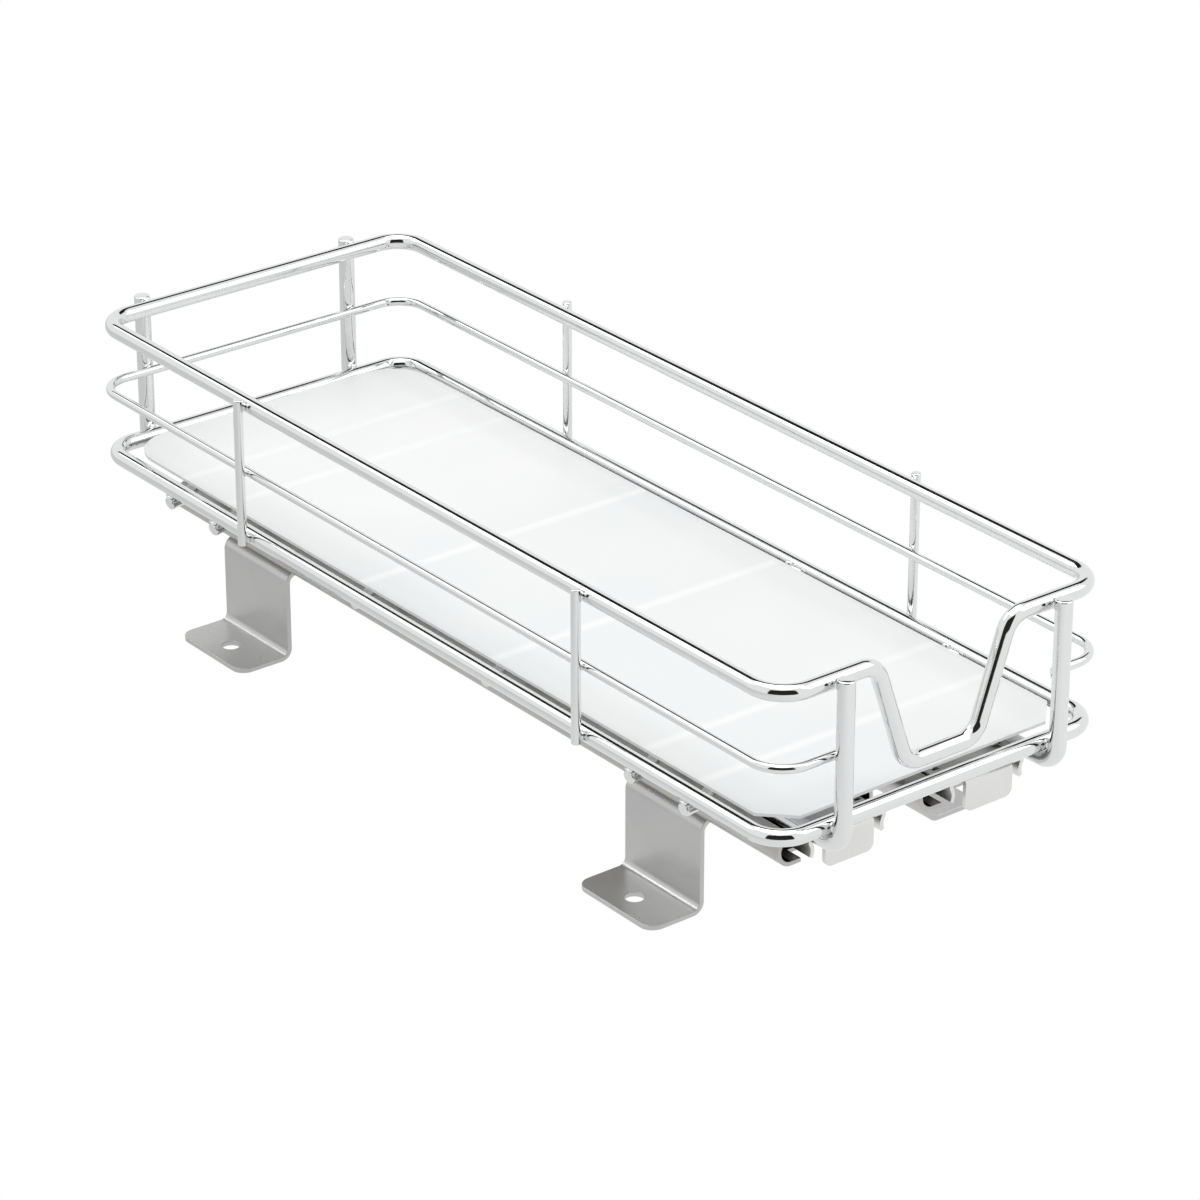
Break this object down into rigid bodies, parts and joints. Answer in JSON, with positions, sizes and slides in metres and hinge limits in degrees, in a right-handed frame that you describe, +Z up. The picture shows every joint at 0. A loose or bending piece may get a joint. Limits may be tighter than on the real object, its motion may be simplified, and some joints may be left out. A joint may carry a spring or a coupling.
{
  "type": "pull-out spice rack",
  "caption": "Narrow chrome wire basket with a dipped front handle, on ball-bearing slides and Z-shaped sheet brackets, sliding out of a wall cabinet.",
  "frame": {"origin": "middle of the plan at the underside of the bracket feet", "axes": "+Z up from the shelf, -Y towards the handle and the way the basket slides out, +X to the right seen from the handle"},
  "size_m": [0.1007, 0.2716, 0.0731],
  "materials": {
    "chrome_wire": "polished",
    "plated_sheet": "satin",
    "zinc_plated_sheet": "satin",
    "polished_steel": "polished",
    "frosted_plastic": "matte",
    "black_rubber": "matte"
  },
  "bodies": {
    "mounting": {"left_front_bracket": "plated_sheet", "left_rear_bracket": "plated_sheet", "right_front_bracket": "plated_sheet", "right_rear_bracket": "plated_sheet", "left_slide_channel": "zinc_plated_sheet", "right_slide_channel": "zinc_plated_sheet", "left_slide_bumper": "black_rubber", "right_slide_bumper": "black_rubber", "bracket_rivets": "polished_steel"},
    "basket": {"top_rail": "chrome_wire", "middle_rail": "chrome_wire", "bottom_rail": "chrome_wire", "left_runner_wire": "chrome_wire", "right_runner_wire": "chrome_wire", "cross_wire_1": "chrome_wire", "cross_wire_2": "chrome_wire", "cross_wire_3": "chrome_wire", "cross_wire_4": "chrome_wire", "cross_wire_5": "chrome_wire", "cross_wire_6": "chrome_wire", "left_front_upright": "chrome_wire", "left_rear_upright": "chrome_wire", "right_front_upright": "chrome_wire", "right_rear_upright": "chrome_wire", "floor_liner": "frosted_plastic", "left_slide_inner": "zinc_plated_sheet", "right_slide_inner": "zinc_plated_sheet"},
    "left_cage": {"left_ball_cage": "zinc_plated_sheet", "left_balls": "polished_steel"},
    "right_cage": {"right_ball_cage": "zinc_plated_sheet", "right_balls": "polished_steel"}
  },
  "joints": [
    {"name": "basket_slide", "type": "slide", "parent": "mounting", "child": "basket", "axis": [0, -1, 0], "range_m": [0, 0.16]},
    {"name": "left_cage_slide", "type": "slide", "parent": "mounting", "child": "left_cage", "axis": [0, -1, 0], "range_m": [0, 0.08]},
    {"name": "right_cage_slide", "type": "slide", "parent": "mounting", "child": "right_cage", "axis": [0, -1, 0], "range_m": [0, 0.08]}
  ],
  "couplings": [
    {"joint": "left_cage_slide", "follows": "basket_slide", "ratio": 0.5},
    {"joint": "right_cage_slide", "follows": "basket_slide", "ratio": 0.5}
  ]
}
